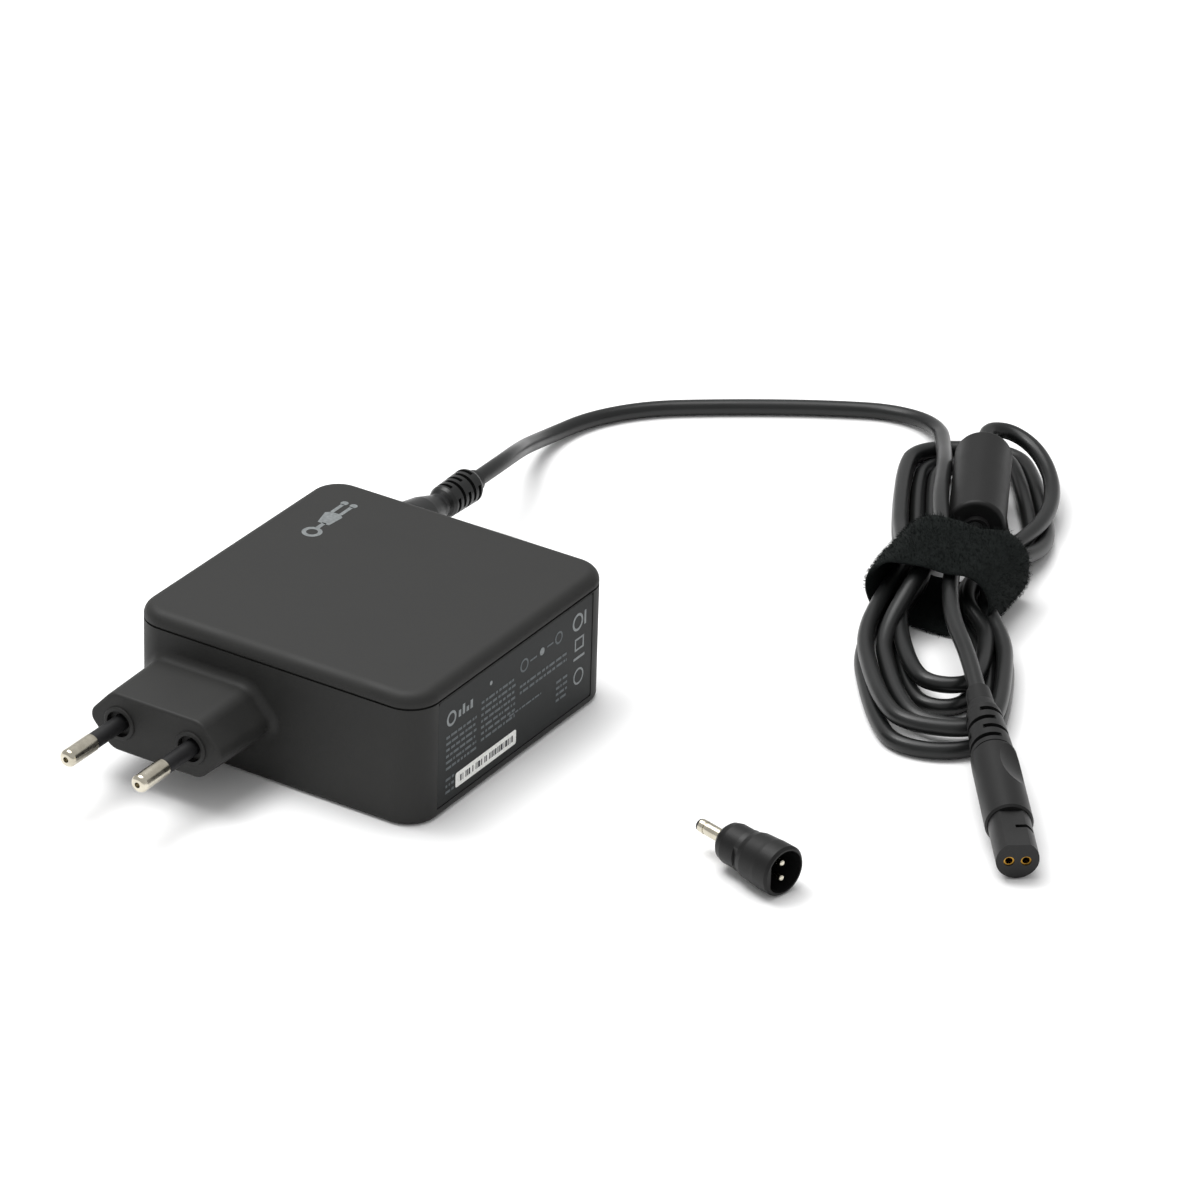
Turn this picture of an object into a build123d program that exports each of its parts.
from build123d import *

import os
from math import pi, radians, tan

# One-piece laptop power adapter with its wound cord and a loose adapter tip.
# Millimetres. Origin: centre of the housing's resting face. +Z up, the mains pins
# point along -Y, the cord leaves along +Y, the rating label is on the +X side.

# ---- housing ----
CASE_W = 74.0
CASE_D = 75.2
CASE_H = 31.4
CORNER_R = 7.2
WALL = 2.2
SEAM_Z = 28.4
TOP_EDGE_R = 2.7
BOTTOM_EDGE_R = 1.5
SEAM_GROOVE = 0.5
TONGUE_T = 1.1
TONGUE_H = 2.4
TONGUE_GAP = 0.15

# ---- label side ----
LABEL_LENGTH = 60.0
LABEL_LOW = 2.4
LABEL_HIGH = 27.5
LABEL_T = 0.2
LABEL_RECESS = 0.3
LABEL_MARGIN = 0.2
STICKER_START = -23.2
STICKER_LENGTH = 23.4
STICKER_LOW = 4.2
STICKER_HEIGHT = 3.5
STICKER_T = 0.08

# ---- mains plug ----
PLUG_X = -17.4
PLUG_Z = 14.4
PLUG_LENGTH = 18.3
PLUG_W = 35.3
PLUG_H = 13.7
PLUG_FLAT = 23.0
PLUG_POINT_R = 2.6
PLUG_SHOULDER_R = 4.0
PLUG_DRAFT = 1.4
PLUG_BLEND_R = 2.0
PLUG_FACE_EDGE_R = 0.7
NOSE_WALL = 2.4
PIN_SPACING = 18.4
PIN_R = 2.0
PIN_CORE_R = 1.45
PIN_LENGTH = 19.0
PIN_BARE = 9.0
PIN_TAIL = 5.0
SLEEVE_R = 1.84
SLEEVE_ROOT = 1.6
COLLAR_R = 3.9
COLLAR_H = 0.5
DISH_R = 3.0
DISH_DEPTH = 1.0

# ---- cord and its entry ----
CORD_D = 3.8
CORD_R = CORD_D / 2
BOOT_X = -24.0
BOOT_Z = 17.0
BOOT_LENGTH = 39.4
BOOT_FLANGE_R = 5.8
BOOT_FLANGE_T = 1.6
BOOT_NECK_R = 4.4
NOZZLE_BORE = 6.0

# ---- circuit board ----
BOARD_W = 66.0
BOARD_D = 67.0
BOARD_T = 1.6
BOARD_Z = 6.0
POST_X = 29.0
POST_Y = 29.0
POST_R = 2.4
POST_PIN_R = 1.1

# ---- hank of cord: its own frame has +X towards the connector ----
HANK_X = 81.3
HANK_Y = 108.9
HANK_TURN = -58.6
NEAR_LOBE = (28.0, -3.5, 38.5, 18.2, 7.9)
FAR_LOBE = (-47.0, 7.5, 38.5, 19.5, 9.0)
WAIST_TURN = -22.0
WAIST_W = 29.4
WAIST_LOW = 1.6
WAIST_HIGH = 15.4
WAIST_REACH = 15.0
STRAP_WIDTH = 25.0
STRAP_T = 1.6
STRAP_CORNER_R = 6.5

# ---- ferrite sleeve ----
FERRITE_START = (58.3, 166.8, 11.2)
FERRITE_END = (74.3, 134.6, 9.2)
FERRITE_R = 6.7
FERRITE_CORE_R = 5.2
FERRITE_WALL = 2.0
FERRITE_EDGE_R = 1.0
FERRITE_NECK_R = 3.0
FERRITE_NECK = 1.6

# ---- connector on the cord's end ----
CONNECTOR_START = (112.8, 66.5, 10.5)
CONNECTOR_END = (149.8, 17.8, 4.95)
RELIEF_LENGTH = 24.0
RELIEF_NECK_R = 2.7
RELIEF_END_R = 4.7
BODY_LENGTH = 25.0
BODY_R = 5.1
NOSE_R = 4.6
NOSE_FLAT = 3.85
CONTACT_R = 1.15
CONTACT_BORE_R = 0.8
CONTACT_DEPTH = 9.0
CONTACT_SPACING = 3.6

# ---- loose adapter tip ----
TIP_BACK = (88.5, -8.5)
TIP_FACE = (113.0, -15.1)
TIP_FRONT_R = 5.6
TIP_REAR_R = 4.6
TIP_BARREL_R = 1.5
TIP_ROOT_R = 1.3
TIP_BARREL_LENGTH = 7.6
SOCKET_DEPTH = 9.2
SOCKET_CLEARANCE = 0.15
INSERT_T = 2.0
TIP_PIN_R = 0.7
TIP_PIN_LENGTH = 8.6

# ---- routes of the cord's free stretches ----
RUN_ROUTE = [
    (BOOT_X, 71.0, BOOT_Z),
    (BOOT_X, 86.0, BOOT_Z),
    (-28.2, 100.6, 13.2),
    (-34.4, 115.6, 7.0),
    (-37.4, 130.0, 2.6),
    (-35.2, 144.0, 1.95),
    (-27.0, 156.5, 1.95),
    (-14.2, 166.6, 1.95),
    (0.6, 177.0, 1.95),
    (12.4, 184.2, 1.95),
    (20.8, 188.4, 1.95),
    (29.8, 188.6, 2.5),
    (37.6, 183.8, 3.7),
    (43.2, 174.6, 5.8),
]
TAIL_ROUTE = [
    (84.6, 103.6, 12.8),
    (93.2, 89.4, 12.5),
    (104.36, 77.6, 11.77),
    CONNECTOR_START,
]

BASE = (Align.CENTER, Align.CENTER, Align.MIN)
CASE_FRONT = -CASE_D / 2
CASE_BACK = CASE_D / 2
CASE_SIDE = CASE_W / 2
PLUG_FACE = CASE_FRONT - PLUG_LENGTH
PIN_TIP = PLUG_FACE - PIN_LENGTH
BOARD_TOP = BOARD_Z + BOARD_T
CAVITY_TOP = CASE_H - WALL
HANK_FRAME = Location((HANK_X, HANK_Y, 0), (0, 0, HANK_TURN))


def rod(radius, start, end):
    """A round bar from one point to another."""
    line = Vector(*end) - Vector(*start)
    return Plane(origin=start, z_dir=line) * Cylinder(radius, line.length, align=BASE)


def box_between(low, high):
    """A box given by its lowest and highest corners."""
    size = [b - a for a, b in zip(low, high)]
    middle = [(a + b) / 2 for a, b in zip(low, high)]
    return Pos(*middle) * Box(*size)


def rounded_block(width, depth, radius, low, high):
    """A block with rounded upright corners, centred on the Z axis."""
    return Pos(0, 0, low) * extrude(RectangleRounded(width, depth, radius), high - low)


def turned(profile, plane):
    """A turned solid: profile holds (distance along the axis, radius) pairs."""
    outline = [(0, profile[0][0])]
    outline += [(radius, along) for along, radius in profile]
    outline += [(0, profile[-1][0])]
    half = Plane.XZ * make_face(Polyline(*outline, close=True))
    return plane * revolve(half, Axis.Z)


def axis_plane(start, end):
    """A plane at start whose normal points at end and whose Y axis is as upright as it can be."""
    line = (Vector(*end) - Vector(*start)).normalized()
    side = Vector(0, 0, 1).cross(line)
    return Plane(origin=start, x_dir=side, z_dir=line)


def relief_slots(plane, start, count, pitch, width, inner_r, outer_r):
    """Staggered ring slots: each leaves two bridges, turned a quarter from slot to slot."""
    slots = []
    for index in range(count):
        ring = Cylinder(outer_r, width, align=BASE) - Cylinder(inner_r, width, align=BASE)
        bridge = Box(inner_r * 1.1, outer_r * 2.2, width * 3)
        ring = Rot(0, 0, 90 * (index % 2) + 45) * (ring - bridge)
        slots.append(plane * Pos(0, 0, start + index * pitch) * ring)
    return slots


def cord_radii(route):
    """Bend radius at each corner: 0.45 of the shorter run over the tangent of half the turn."""
    points = [Vector(*point) for point in route]
    radii = []
    for before, here, after in zip(points, points[1:], points[2:]):
        first = here - before
        second = after - here
        half_turn = radians(first.get_angle(second)) / 2
        radii.append(0.45 * min(first.length, second.length) / tan(half_turn))
    return radii


def cord_tube(name, route, radius=CORD_R):
    """A round cord along straight runs joined by tangent arcs."""
    radii = cord_radii(route)
    path = FilletPolyline(*route, radius=radii)
    start = path @ 0
    tube = sweep(Plane(origin=start, z_dir=path % 0) * Circle(radius), path=path)
    section = pi * radius**2
    print(name, "length", round(path.length, 1), "mm; volume over section x length",
          round(tube.volume / (section * path.length), 4))
    print("   bend radii", [round(value, 1) for value in radii])
    return tube


# ---------------------------------------------------------------- housing


def plug_outline(inset=0.0):
    """The flat hexagon of the plug's face, with rounded side points."""
    half_w = PLUG_W / 2 - inset
    half_h = PLUG_H / 2 - inset
    flat = PLUG_FLAT / 2 - inset * 0.45
    upper = [(-half_w, 0), (-flat, half_h), (flat, half_h)]
    corners = upper + [(-x, -y) for x, y in upper]
    outline = make_face(Polyline(*corners, close=True))
    points = outline.vertices().sort_by(Axis.X)
    outline = fillet([points[0], points[-1]], max(PLUG_POINT_R - inset, 0.8))
    flats = [v for v in outline.vertices() if abs(abs(v.X) - flat) < 0.01]
    return fillet(flats, max(PLUG_SHOULDER_R - inset, 0.6))


def plug_prism(face_y, back_y, inset=0.0, draft=PLUG_DRAFT):
    """The hexagonal nose, widening slightly from its face towards the housing."""
    face_plane = Plane(origin=(PLUG_X, face_y, PLUG_Z), x_dir=(1, 0, 0), z_dir=(0, 1, 0))
    return extrude(face_plane * plug_outline(inset), back_y - face_y, taper=-draft)


def nose_blend_edges(body):
    """The edges where the plug's nose meets the housing's outside."""
    chosen = []
    for edge in body.edges():
        middle = edge @ 0.5
        on_wall = CASE_FRONT - 0.05 < middle.Y < CASE_FRONT + 6
        in_width = abs(middle.X - PLUG_X) < PLUG_W / 2 + 1.5
        in_height = abs(middle.Z - PLUG_Z) < PLUG_H / 2 + 1.5
        upright_seam = edge.geom_type == GeomType.LINE and abs((edge % 0.5).Z) > 0.99
        if on_wall and in_width and in_height and not upright_seam:
            chosen.append(edge)
    return chosen


def lower_case():
    """Deep tray with the plug's nose moulded on its front wall."""
    tray = rounded_block(CASE_W, CASE_D, CORNER_R, 0, SEAM_Z)
    tray = fillet(tray.faces().sort_by(Axis.Z)[0].edges(), BOTTOM_EDGE_R)
    nose = plug_prism(PLUG_FACE, CASE_FRONT + 10)
    nose = fillet(nose.faces().sort_by(Axis.Y)[0].edges(), PLUG_FACE_EDGE_R)
    body = tray + nose
    body = fillet(nose_blend_edges(body), PLUG_BLEND_R)
    cavity = rounded_block(CASE_W - 2 * WALL, CASE_D - 2 * WALL, CORNER_R - WALL, WALL, SEAM_Z + 1)
    body -= cavity
    groove = rounded_block(CASE_W + 2, CASE_D + 2, CORNER_R + 1, SEAM_Z - SEAM_GROOVE, SEAM_Z)
    groove -= rounded_block(CASE_W - 2 * SEAM_GROOVE, CASE_D - 2 * SEAM_GROOVE,
                            CORNER_R - SEAM_GROOVE, SEAM_Z - 1, SEAM_Z + 1)
    body -= groove
    body -= carrier_block()
    for side in (-1, 1):
        x = PLUG_X + side * PIN_SPACING / 2
        collar = rod(COLLAR_R, (x, PLUG_FACE - COLLAR_H, PLUG_Z), (x, PLUG_FACE + 0.5, PLUG_Z))
        collar = fillet(collar.edges().group_by(Axis.Y)[0], COLLAR_H * 0.8)
        body += collar
        body -= rod(DISH_R, (x, PLUG_FACE - 2, PLUG_Z), (x, PLUG_FACE + DISH_DEPTH, PLUG_Z))
        body -= rod(SLEEVE_R, (x, PLUG_FACE - 2, PLUG_Z), (x, PLUG_FACE + NOSE_WALL + 1, PLUG_Z))
    body -= rod(BOOT_NECK_R, (BOOT_X, CASE_BACK - 5, BOOT_Z), (BOOT_X, CASE_BACK + 1, BOOT_Z))
    recess_y = LABEL_LENGTH / 2 + LABEL_MARGIN
    body -= box_between((CASE_SIDE - LABEL_RECESS, -recess_y, LABEL_LOW - LABEL_MARGIN),
                        (CASE_SIDE + 1, recess_y, LABEL_HIGH + LABEL_MARGIN))
    for x, y in board_posts():
        body += Pos(x, y, WALL) * Cylinder(POST_R, BOARD_Z - WALL, align=BASE)
        body += Pos(x, y, WALL) * Cylinder(POST_PIN_R, BOARD_TOP + 0.8 - WALL, align=BASE)
    return body


def upper_cover():
    """Shallow lid: rounded top edge, and a tongue that drops inside the tray's wall."""
    lid = rounded_block(CASE_W, CASE_D, CORNER_R, SEAM_Z, CASE_H)
    lid = fillet(lid.faces().sort_by(Axis.Z)[-1].edges(), TOP_EDGE_R)
    lid -= rounded_block(CASE_W - 2 * WALL, CASE_D - 2 * WALL, CORNER_R - WALL, SEAM_Z - 1, CAVITY_TOP)
    outer = WALL + TONGUE_GAP
    inner = outer + TONGUE_T
    tongue = rounded_block(CASE_W - 2 * outer, CASE_D - 2 * outer, CORNER_R - outer,
                           SEAM_Z - TONGUE_H, CAVITY_TOP + 0.2)
    tongue -= rounded_block(CASE_W - 2 * inner, CASE_D - 2 * inner, CORNER_R - inner,
                            SEAM_Z - TONGUE_H - 1, CASE_H)
    return lid + tongue


def board_posts():
    """Places of the four posts that carry the circuit board."""
    return [(x, y) for x in (-POST_X, POST_X) for y in (-POST_Y, POST_Y)]


def rating_label():
    """Printed film in the recess of the +X side."""
    low = (CASE_SIDE - LABEL_RECESS, -LABEL_LENGTH / 2, LABEL_LOW)
    high = (CASE_SIDE - LABEL_RECESS + LABEL_T, LABEL_LENGTH / 2, LABEL_HIGH)
    label = box_between(low, high)
    return fillet(label.edges().filter_by(Axis.X), 0.8)


def barcode_label():
    """Small paper sticker on the lower front part of the rating label."""
    x = CASE_SIDE - LABEL_RECESS + LABEL_T
    low = (x, STICKER_START, STICKER_LOW)
    high = (x + STICKER_T, STICKER_START + STICKER_LENGTH, STICKER_LOW + STICKER_HEIGHT)
    return fillet(box_between(low, high).edges().filter_by(Axis.X), 0.5)


# ---------------------------------------------------------------- mains plug


def carrier_block():
    """The space that the pin carrier fills, behind the nose's face and walls."""
    return plug_prism(PLUG_FACE + NOSE_WALL, CASE_FRONT + WALL + 2.4, inset=NOSE_WALL, draft=0.0)


def pin_carrier():
    """Insulating block that holds both pins in the nose."""
    block = carrier_block()
    for side in (-1, 1):
        x = PLUG_X + side * PIN_SPACING / 2
        block -= rod(PIN_CORE_R, (x, PLUG_FACE, PLUG_Z), (x, CASE_FRONT + 12, PLUG_Z))
        block -= rod(SLEEVE_R, (x, PLUG_FACE, PLUG_Z), (x, PLUG_FACE + NOSE_WALL + SLEEVE_ROOT, PLUG_Z))
    return block


def mains_pin(side):
    """Plated pin: full size at its bare end, thinner under the sleeve, rounded hollow tip."""
    x = PLUG_X + side * PIN_SPACING / 2
    tail_y = CASE_FRONT + WALL + 2.4 + PIN_TAIL
    pin = rod(PIN_R, (x, PIN_TIP, PLUG_Z), (x, PIN_TIP + PIN_BARE, PLUG_Z))
    pin = fillet(pin.edges().group_by(Axis.Y)[0], PIN_R * 0.55)
    pin += rod(PIN_CORE_R, (x, PIN_TIP + PIN_BARE - 1, PLUG_Z), (x, tail_y, PLUG_Z))
    pin -= rod(0.65, (x, PIN_TIP - 1, PLUG_Z), (x, PIN_TIP + 1.8, PLUG_Z))
    return pin


def pin_sleeve(side):
    """Insulating sleeve over the pin's root."""
    x = PLUG_X + side * PIN_SPACING / 2
    start = (x, PIN_TIP + PIN_BARE, PLUG_Z)
    end = (x, PLUG_FACE + NOSE_WALL + SLEEVE_ROOT, PLUG_Z)
    return rod(SLEEVE_R, start, end) - rod(PIN_CORE_R, start, end)


# ---------------------------------------------------------------- electronics


def circuit_board():
    """Fibreglass board on the four posts."""
    board = rounded_block(BOARD_W, BOARD_D, 2.0, BOARD_Z, BOARD_TOP)
    for x, y in board_posts():
        board -= Pos(x, y, BOARD_Z - 1) * Cylinder(POST_PIN_R, BOARD_T + 2, align=BASE)
    return board


def insulation_sheet():
    """Thin film on the tray's floor, under the board's solder joints."""
    sheet = rounded_block(BOARD_W, BOARD_D, 3.0, WALL, WALL + 0.3)
    for x, y in board_posts():
        sheet -= Pos(x, y, WALL - 1) * Cylinder(POST_R, 3, align=BASE)
    return sheet


def on_board(shape, x, y):
    """Stand a shape on the board's upper side."""
    return Pos(x, y, BOARD_TOP) * shape


def fuse():
    """Glass-tube fuse with two metal caps, lying along X."""
    lying = Rot(0, 90, 0)
    tube = lying * Cylinder(2.2, 14)
    caps = [Pos(side * 8.6, 0, 0) * lying * Cylinder(2.5, 3.2) for side in (-1, 1)]
    return on_board(Pos(0, 0, 2.6) * (tube + caps), PLUG_X, -30.0)


def inrush_thermistor():
    """Round disc that limits the switch-on surge."""
    disc = Pos(0, 0, 6.0) * Rot(90, 0, 0) * Cylinder(5.0, 3.4)
    legs = [Pos(side * 2.5, 0, 0) * Cylinder(0.4, 4.0, align=BASE) for side in (-1, 1)]
    return on_board(disc + legs, 2.0, -30.0)


def x_capacitor():
    """Boxed film capacitor across the mains."""
    block = Pos(0, 0, 0.3) * Box(17.5, 8.5, 14.0, align=BASE)
    return on_board(fillet(block.edges(), 0.6), 18.5, -28.9)


def choke_core():
    """Ferrite ring of the mains choke, standing on its edge."""
    ring = Cylinder(9.0, 6.0) - Cylinder(4.6, 6.0)
    return on_board(Pos(0, 0, 10.6) * Rot(0, 90, 0) * ring, 22.0, -14.0)


def choke_winding():
    """Two wound stretches of wire on the ring, one solid each."""
    coil = Cylinder(10.4, 8.8) - Cylinder(3.2, 8.8)
    coil -= Cylinder(9.0, 6.0) - Cylinder(4.6, 6.0)
    windings = []
    for side in (-1, 1):
        sector = coil & (Pos(side * 7.6, 0, 0) * Box(10.4, 22, 10))
        standing = Pos(0, 0, 10.6) * Rot(0, 90, 0) * Rot(0, 0, 90) * sector
        windings.append(on_board(standing, 22.0, -14.0))
    return Compound(children=windings)


def bridge_rectifier():
    """Flat in-line bridge with four legs."""
    block = Pos(0, 0, 3.0) * Box(3.4, 15.0, 10.5, align=BASE)
    legs = [Pos(0, step * 3.8, 0) * Cylinder(0.45, 3.2, align=BASE) for step in (-1.5, -0.5, 0.5, 1.5)]
    return on_board(fillet(block.edges(), 0.4) + legs, 4.0, -14.0)


def bulk_capacitor():
    """Large electrolytic capacitor lying along Y, with its crimp groove."""
    length = 27.0
    radius = 8.6
    can = turned([(0, radius - 0.5), (0.5, radius), (2.4, radius), (3.0, radius - 0.7), (3.6, radius),
                  (length - 0.6, radius), (length, radius - 0.6)], Plane((0, 0, 0)))
    lying = Pos(0, -length / 2, radius + 0.4) * Rot(-90, 0, 0) * can
    return on_board(lying, -20.5, -7.5)


def heatsink(x, y, length, height):
    """Upright aluminium plate with a short folded foot."""
    plate = Pos(0, 0, 0.4) * Box(1.8, length, height, align=BASE)
    foot = Pos(-2.4, 0, 0.4) * Box(3.0, length, 1.8, align=BASE)
    return on_board(plate + foot, x, y)


def power_device(x, y):
    """Three-legged power device that lies flat against a heatsink's +X side."""
    tab = Pos(0, 0, 5.0) * Box(1.2, 10.0, 13.0, align=BASE)
    package = Pos(1.7, 0, 4.0) * Box(2.2, 10.0, 8.6, align=BASE)
    legs = [Pos(1.4, step * 2.54, 0) * Cylinder(0.4, 4.2, align=BASE) for step in (-1, 0, 1)]
    return on_board(Pos(0.6, 0, 0) * (tab + package + legs), x, y)


def transformer_core():
    """Two E-shaped ferrite halves as one closed frame round the bobbin."""
    block = Box(22.0, 24.0, 18.0, align=BASE)
    windows = Pos(0, 0, -1) * (Box(30.0, 16.4, 20.0, align=BASE) - Cylinder(4.4, 20.0, align=BASE))
    caps = box_between((-11, -12, 0), (11, 12, 3.0)) + box_between((-11, -12, 15.0), (11, 12, 18.0))
    frame = (block - windows) + caps
    return on_board(Pos(0, 0, 1.4) * frame, 6.0, 9.0)


def transformer_winding():
    """Wound bobbin between the core's caps, taped on the outside."""
    coil = Cylinder(8.0, 12.0, align=BASE) - Cylinder(4.4, 12.0, align=BASE)
    return on_board(Pos(0, 0, 4.4) * coil, 6.0, 9.0)


def safety_capacitor():
    """Ceramic disc across the isolation gap."""
    disc = Pos(0, 0, 6.2) * Rot(0, 90, 0) * Cylinder(4.4, 3.6)
    legs = [Pos(0, side * 2.8, 0) * Cylinder(0.35, 4.4, align=BASE) for side in (-1, 1)]
    return on_board(disc + legs, -6.0, 28.0)


def chip(x, y, length, width, height, legs_per_side):
    """Small moulded chip with flat legs along both long sides."""
    body = Pos(0, 0, 0.4) * Box(width, length, height, align=BASE)
    pitch = length / legs_per_side
    legs = []
    for index in range(legs_per_side):
        offset = (index - (legs_per_side - 1) / 2) * pitch
        for side in (-1, 1):
            legs.append(Pos(side * (width / 2 + 0.6), offset, 0) * Box(1.3, 0.6, 0.9, align=BASE))
    return on_board(body + legs, x, y)


def output_capacitor(x, y):
    """Upright low-loss electrolytic capacitor with a crimp groove."""
    radius = 4.0
    can = turned([(0, radius - 0.3), (0.3, radius), (1.6, radius), (2.0, radius - 0.4), (2.4, radius),
                  (15.6, radius), (16.0, radius - 0.4)], Plane((0, 0, 0)))
    return on_board(Pos(0, 0, 0.3) * can, x, y)


def output_choke():
    """Small drum choke in the output filter."""
    profile = [(0, 3.6), (1.2, 3.6), (1.2, 3.1), (7.8, 3.1), (7.8, 3.6), (9.0, 3.6)]
    drum = turned(profile, Plane((0, 0, 0)))
    return on_board(Pos(0, 0, 0.3) * drum, 13.5, 28.5)


def lead(points, radius):
    """Insulated wire along straight runs joined by arcs."""
    path = FilletPolyline(*points, radius=cord_radii(points))
    return sweep(Plane(origin=path @ 0, z_dir=path % 0) * Circle(radius), path=path)


def mains_lead(side):
    """Wire from a pin's tail down to the board's front edge."""
    x = PLUG_X + side * PIN_SPACING / 2
    tail_y = CASE_FRONT + WALL + 2.4 + PIN_TAIL
    end_y = tail_y + 4.2
    points = [(x, tail_y, PLUG_Z), (x, end_y, PLUG_Z), (x, end_y, BOARD_TOP)]
    return lead(points, 0.9)


def dc_lead(side):
    """Wire from the cord's inner end down to the board's back edge."""
    x = BOOT_X + side * 1.6
    start_y = CASE_BACK - WALL - BOOT_FLANGE_T
    end_y = start_y - 5.0
    points = [(x, start_y, BOOT_Z), (x, end_y, BOOT_Z), (x, end_y, BOARD_TOP)]
    return lead(points, 0.9)


# ---------------------------------------------------------------- cord


def cord_boot():
    """Strain relief: flange inside the wall, tapered base, slotted barrel and short nozzle."""
    start = CASE_BACK - WALL - BOOT_FLANGE_T
    wall = BOOT_FLANGE_T + WALL
    tip = wall + BOOT_LENGTH
    barrel = wall + 25.6
    profile = [(0, BOOT_FLANGE_R), (BOOT_FLANGE_T, BOOT_FLANGE_R), (BOOT_FLANGE_T, BOOT_NECK_R),
               (wall, BOOT_NECK_R), (wall, 6.6), (wall + 1.0, 6.9), (wall + 6, 6.5), (wall + 13, 5.6),
               (wall + 18, 4.7), (wall + 21.5, 3.6), (wall + 23.6, 2.9), (barrel - 0.6, 2.8),
               (barrel, 3.4), (barrel + 0.8, 3.8), (barrel + 10.6, 4.1), (barrel + 11.4, 3.7),
               (barrel + 11.6, 2.7), (tip, 2.6)]
    plane = Plane(origin=(BOOT_X, start, BOOT_Z), x_dir=(1, 0, 0), z_dir=(0, 1, 0))
    boot = turned(profile, plane)
    for slot in relief_slots(plane, barrel + 1.4, 5, 1.95, 0.95, 2.75, 4.6):
        boot -= slot
    end = start + tip
    return boot - rod(CORD_R, (BOOT_X, end - NOZZLE_BORE, BOOT_Z), (BOOT_X, end + 1, BOOT_Z))


def lobe(centre_x, centre_y, half_x, half_y, height):
    """One bundle of loops: an oval slab with a softened upper edge."""
    slab = extrude(Ellipse(half_x, half_y), height)
    slab = fillet(slab.edges().group_by(Axis.Z)[-1], CORD_R)
    return Pos(centre_x, centre_y, 0) * slab


def waist_block(width, low, high, corner, reach):
    """A rounded bar along the hank at the tie."""
    plane = Plane(origin=(-reach / 2, 0, (low + high) / 2), x_dir=(0, 1, 0), z_dir=(1, 0, 0))
    bar = extrude(plane * RectangleRounded(width, high - low, corner), reach)
    return Pos(-4.5, -0.3, 0) * Rot(0, 0, WAIST_TURN) * bar


def strap_outer():
    """The tie's outer shape, filled."""
    corner = STRAP_CORNER_R + STRAP_T * 0.9
    return waist_block(WAIST_W + 2 * STRAP_T, 0, WAIST_HIGH + STRAP_T, corner, STRAP_WIDTH)


def waist_bundle():
    """The strands pressed together inside the tie."""
    return waist_block(WAIST_W, WAIST_LOW, WAIST_HIGH, STRAP_CORNER_R, STRAP_WIDTH + WAIST_REACH * 0.6)


def cable_strap():
    """Hook-and-loop band round the hank."""
    inner = waist_block(WAIST_W, WAIST_LOW, WAIST_HIGH, STRAP_CORNER_R, STRAP_WIDTH + 2)
    return HANK_FRAME * (strap_outer() - inner)


def ferrite_axis():
    """Plane at the sleeve's far end, looking along the sleeve, and the sleeve's length."""
    plane = axis_plane(FERRITE_START, FERRITE_END)
    length = (Vector(*FERRITE_END) - Vector(*FERRITE_START)).length
    return plane, length


def ferrite_core():
    """Pressed ferrite ring inside the moulded sleeve."""
    plane, length = ferrite_axis()
    size = length - 2 * FERRITE_NECK - 2 * FERRITE_WALL
    ring = Cylinder(FERRITE_CORE_R, size, align=BASE) - Cylinder(CORD_R + 0.4, size, align=BASE)
    return plane * Pos(0, 0, FERRITE_NECK + FERRITE_WALL) * ring


def ferrite_blank():
    """The sleeve's outer shape: a round-edged barrel with a short neck at each end."""
    plane, length = ferrite_axis()
    barrel = Cylinder(FERRITE_R, length - 2 * FERRITE_NECK, align=BASE)
    barrel = fillet(barrel.edges().filter_by(GeomType.CIRCLE), FERRITE_EDGE_R)
    neck = Cylinder(FERRITE_NECK_R, length, align=BASE)
    return plane * (Pos(0, 0, FERRITE_NECK) * barrel + neck)


def ferrite_cover():
    """Moulded sleeve, with the room for the ferrite ring and the cord."""
    plane, length = ferrite_axis()
    cover = ferrite_blank() - plane * Cylinder(CORD_R, length, align=BASE)
    size = length - 2 * FERRITE_NECK - 2 * FERRITE_WALL
    room = Cylinder(FERRITE_CORE_R, size, align=BASE)
    return cover - plane * Pos(0, 0, FERRITE_NECK + FERRITE_WALL) * room


def cord_hank(run_tube, tail_tube):
    """All turns of the wound cord as one solid, with the strand through the ferrite."""
    lobes = lobe(*NEAR_LOBE) + lobe(*FAR_LOBE)
    hank = HANK_FRAME * ((lobes - strap_outer()) + waist_bundle())
    hank -= ferrite_blank()
    plane, length = ferrite_axis()
    hank += plane * Pos(0, 0, -7.0) * Cylinder(CORD_R, length + 20.0, align=BASE)
    hank -= run_tube
    hank -= tail_tube
    return hank - relief_blank()


# ---------------------------------------------------------------- connector


def connector_plane():
    """Plane at the connector's cord end, looking along it."""
    return axis_plane(CONNECTOR_START, CONNECTOR_END)


def connector_length():
    """Whole length of the connector along its axis."""
    return (Vector(*CONNECTOR_END) - Vector(*CONNECTOR_START)).length


def relief_blank():
    """The relief's outer shape: a short neck that widens towards the grip."""
    profile = [(0, RELIEF_NECK_R), (5.5, RELIEF_NECK_R + 0.3), (9.0, 3.9), (RELIEF_LENGTH, RELIEF_END_R)]
    return turned(profile, connector_plane())


def connector_relief():
    """Slotted strain relief moulded on the cord."""
    plane = connector_plane()
    relief = relief_blank()
    for slot in relief_slots(plane, 10.6, 4, 3.5, 1.4, 3.0, 6.0):
        relief -= slot
    return relief


def connector_body():
    """Grip of the connector with a shallow thumb hollow on its upper right side."""
    plane = connector_plane()
    start = RELIEF_LENGTH
    end = start + BODY_LENGTH
    grip = turned([(start, BODY_R - 0.6), (start + 0.8, BODY_R - 0.1), (start + 4, BODY_R),
                   (end - 0.5, BODY_R + 0.1), (end, BODY_R - 0.3)], plane)
    hollow = plane * Pos(15.4, 19.8, start + 7.8) * Sphere(21.2)
    return grip - hollow


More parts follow.
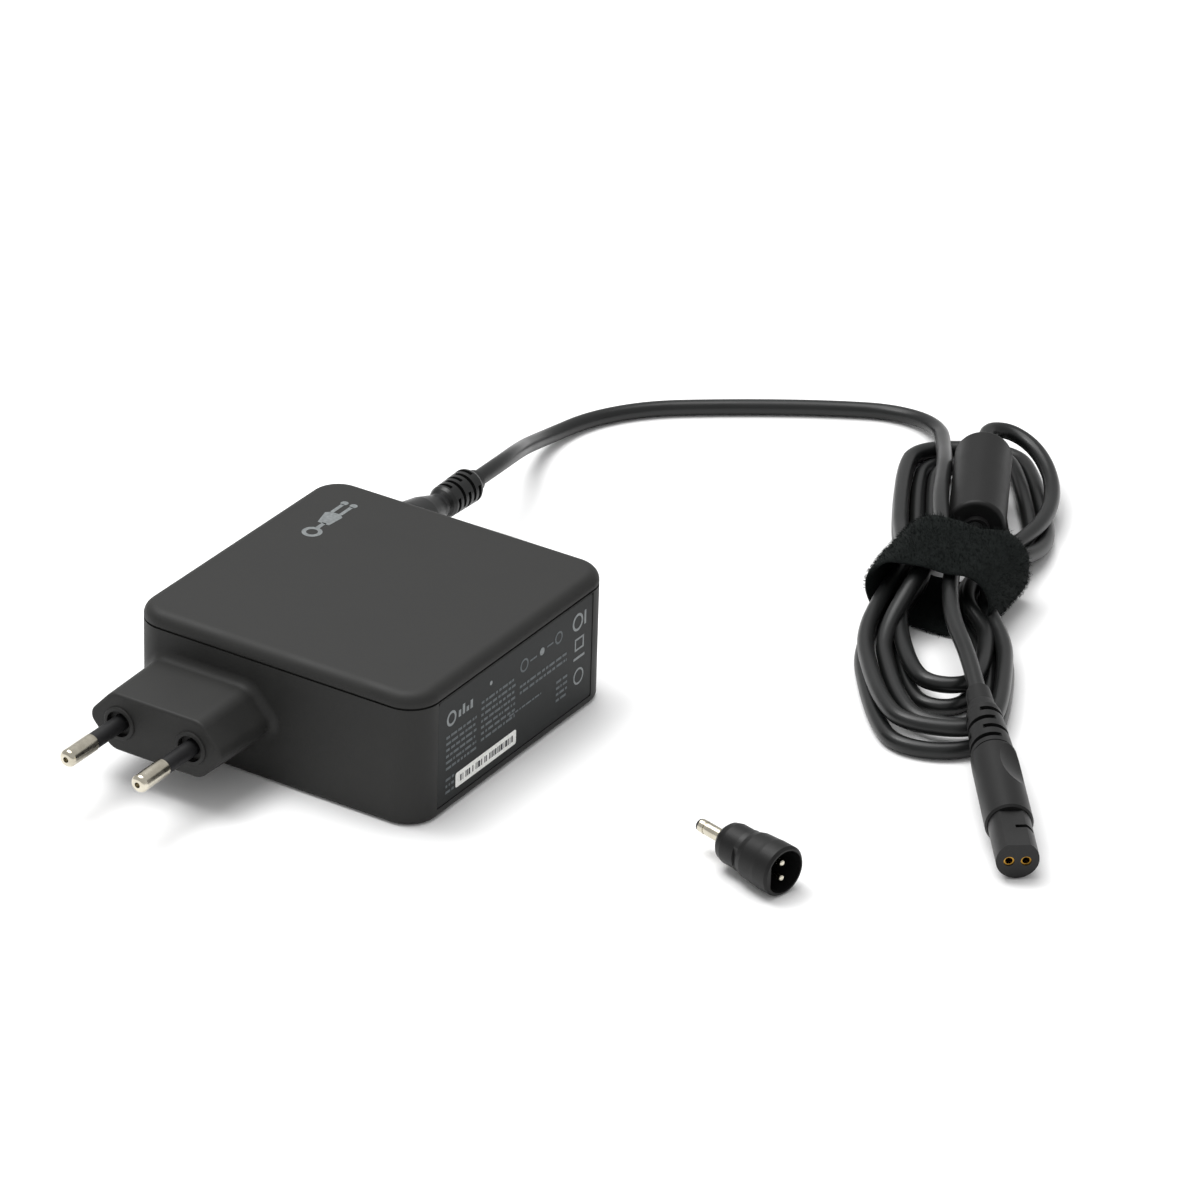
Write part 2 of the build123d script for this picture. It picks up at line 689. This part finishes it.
def nose_section(clearance=0.0):
    """Round section with one flat on its upper side."""
    radius = NOSE_R + clearance
    flat = NOSE_FLAT + clearance
    block = Pos(0, flat - radius, 0) * Rectangle(radius * 2, radius * 2)
    return Circle(radius) & block


def connector_nose():
    """Socket end: flat on top, side notch, two round contact holes."""
    plane = connector_plane()
    start = RELIEF_LENGTH + BODY_LENGTH
    size = connector_length() - start
    nose = Pos(0, 0, start) * extrude(nose_section(), size)
    nose -= Pos(2.9, NOSE_FLAT - 0.2, start + 5.6) * Box(5.4, 3.4, 1.0)
    for side in (-1, 1):
        hole = Cylinder(CONTACT_R, CONTACT_DEPTH, align=BASE)
        nose -= Pos(side * CONTACT_SPACING / 2, -0.3, start + size - CONTACT_DEPTH) * hole
    return plane * nose


def connector_contacts():
    """Two plated socket tubes."""
    plane = connector_plane()
    base = connector_length() - CONTACT_DEPTH
    size = CONTACT_DEPTH - 0.3
    tubes = []
    for side in (-1, 1):
        tube = Cylinder(CONTACT_R, size, align=BASE)
        tube -= Pos(0, 0, 1.5) * Cylinder(CONTACT_BORE_R, size, align=BASE)
        tubes.append(plane * Pos(side * CONTACT_SPACING / 2, -0.3, base) * tube)
    return Compound(children=tubes)


# ---------------------------------------------------------------- loose tip


def tip_plane():
    """Plane at the barrel's free end, looking towards the socket's mouth."""
    return axis_plane((*TIP_BACK, TIP_FRONT_R), (*TIP_FACE, TIP_FRONT_R))


def tip_length():
    """Whole length of the loose tip."""
    return (Vector(*TIP_FACE) - Vector(*TIP_BACK)).length


def socket_room(start, size):
    """A stretch of the D-shaped room inside the tip's socket."""
    return Pos(0, 0, start) * extrude(Rot(0, 0, 90) * nose_section(SOCKET_CLEARANCE), size)


def tip_body():
    """Moulded housing: rounded back, waist ring, wider socket end."""
    back = TIP_BARREL_LENGTH
    face = tip_length()
    rear = TIP_REAR_R
    front = TIP_FRONT_R
    rounded_back = [(back, rear - 2.2), (back + 0.4, rear - 1.2), (back + 1.3, rear - 0.4),
                    (back + 2.8, rear)]
    ring = [(back + 6.6, rear), (back + 6.9, rear - 0.5), (back + 7.6, rear - 0.5), (back + 8.0, rear + 0.3)]
    socket_end = [(back + 9.4, front - 0.3), (face - 5.0, front - 0.1), (face - 4.0, front),
                  (face - 0.6, front), (face, front - 0.5)]
    plane = tip_plane()
    body = turned(rounded_back + ring + socket_end, plane)
    body -= plane * socket_room(face - SOCKET_DEPTH - INSERT_T, SOCKET_DEPTH + INSERT_T + 1)
    return body - plane * Pos(0, 0, back - 1) * Cylinder(TIP_ROOT_R, 4.0, align=BASE)


def tip_insert():
    """Insulating disc at the bottom of the socket, pierced by the two pins."""
    plane = tip_plane()
    start = tip_length() - SOCKET_DEPTH - INSERT_T
    disc = socket_room(start, INSERT_T)
    for side in (-1, 1):
        disc -= Pos(0, side * CONTACT_SPACING / 2, start) * Cylinder(TIP_PIN_R, INSERT_T, align=BASE)
    return plane * disc


def tip_pins():
    """Two round contact pins inside the socket."""
    plane = tip_plane()
    start = tip_length() - SOCKET_DEPTH - INSERT_T
    pins = []
    for side in (-1, 1):
        pin = Cylinder(TIP_PIN_R, INSERT_T + TIP_PIN_LENGTH, align=BASE)
        pin = fillet(pin.edges().group_by(Axis.Z)[-1], TIP_PIN_R * 0.6)
        pins.append(plane * Pos(0, side * CONTACT_SPACING / 2, start) * pin)
    return Compound(children=pins)


def tip_barrel():
    """Plated barrel of the laptop's plug, with a turned groove near its end."""
    plane = tip_plane()
    radius = TIP_BARREL_R
    groove = radius - 0.2
    barrel = turned([(0.6, radius), (2.0, radius), (2.1, groove), (2.5, groove), (2.6, radius),
                     (TIP_BARREL_LENGTH, radius), (TIP_BARREL_LENGTH, TIP_ROOT_R),
                     (TIP_BARREL_LENGTH + 3.0, TIP_ROOT_R)], plane)
    return barrel - plane * Pos(0, 0, 0) * Cylinder(1.0, TIP_BARREL_LENGTH, align=BASE)


def tip_barrel_insulator():
    """Dark liner that shows as a ring at the barrel's end."""
    plane = tip_plane()
    liner = turned([(0, 1.3), (0.6, 1.5), (0.6, 1.0), (TIP_BARREL_LENGTH, 1.0)], plane)
    return liner - plane * Cylinder(0.55, 6.5, align=BASE)


def tip_centre_contact():
    """Sprung inner contact at the bottom of the barrel's bore."""
    plane = tip_plane()
    sleeve = Cylinder(0.55, 4.0, align=BASE) - Cylinder(0.4, 3.4, align=BASE)
    return plane * Pos(0, 0, 2.5) * sleeve


# ---------------------------------------------------------------- output


def all_nodes():
    """Every sub-part by name."""
    run_tube = cord_tube("cord_run", RUN_ROUTE)
    tail_tube = cord_tube("cord_tail", TAIL_ROUTE)
    return {
        "lower_case": lower_case(),
        "upper_cover": upper_cover(),
        "rating_label": rating_label(),
        "barcode_label": barcode_label(),
        "pin_carrier": pin_carrier(),
        "pin_left": mains_pin(-1),
        "pin_right": mains_pin(1),
        "pin_sleeve_left": pin_sleeve(-1),
        "pin_sleeve_right": pin_sleeve(1),
        "mains_lead_left": mains_lead(-1),
        "mains_lead_right": mains_lead(1),
        "circuit_board": circuit_board(),
        "insulation_sheet": insulation_sheet(),
        "fuse": fuse(),
        "inrush_thermistor": inrush_thermistor(),
        "x_capacitor": x_capacitor(),
        "choke_core": choke_core(),
        "choke_winding": choke_winding(),
        "bridge_rectifier": bridge_rectifier(),
        "bulk_capacitor": bulk_capacitor(),
        "primary_heatsink": heatsink(-10.0, 17.0, 16.0, 17.0),
        "switching_transistor": power_device(-9.1, 17.0),
        "controller_chip": chip(-22.0, 13.5, 5.0, 3.9, 1.5, 4),
        "optocoupler": chip(-12.0, 28.5, 4.6, 6.4, 3.4, 2),
        "safety_capacitor": safety_capacitor(),
        "transformer_core": transformer_core(),
        "transformer_winding": transformer_winding(),
        "secondary_heatsink": heatsink(21.0, 7.0, 18.0, 17.0),
        "output_rectifier": power_device(21.9, 8.0),
        "output_capacitor_1": output_capacitor(29.4, 8.0),
        "output_capacitor_2": output_capacitor(27.0, 21.0),
        "output_choke": output_choke(),
        "dc_lead_positive": dc_lead(1),
        "dc_lead_negative": dc_lead(-1),
        "cord_boot": cord_boot(),
        "cord_run": run_tube,
        "cord_hank": cord_hank(run_tube, tail_tube),
        "cord_tail": tail_tube,
        "cable_strap": cable_strap(),
        "ferrite_core": ferrite_core(),
        "ferrite_cover": ferrite_cover(),
        "connector_relief": connector_relief(),
        "connector_body": connector_body(),
        "connector_nose": connector_nose(),
        "connector_contacts": connector_contacts(),
        "tip_body": tip_body(),
        "tip_insert": tip_insert(),
        "tip_pins": tip_pins(),
        "tip_barrel": tip_barrel(),
        "tip_barrel_insulator": tip_barrel_insulator(),
        "tip_centre_contact": tip_centre_contact(),
    }


os.makedirs("parts", exist_ok=True)
for node_name, shape in all_nodes().items():
    export_step(shape, f"parts/{node_name}.step")
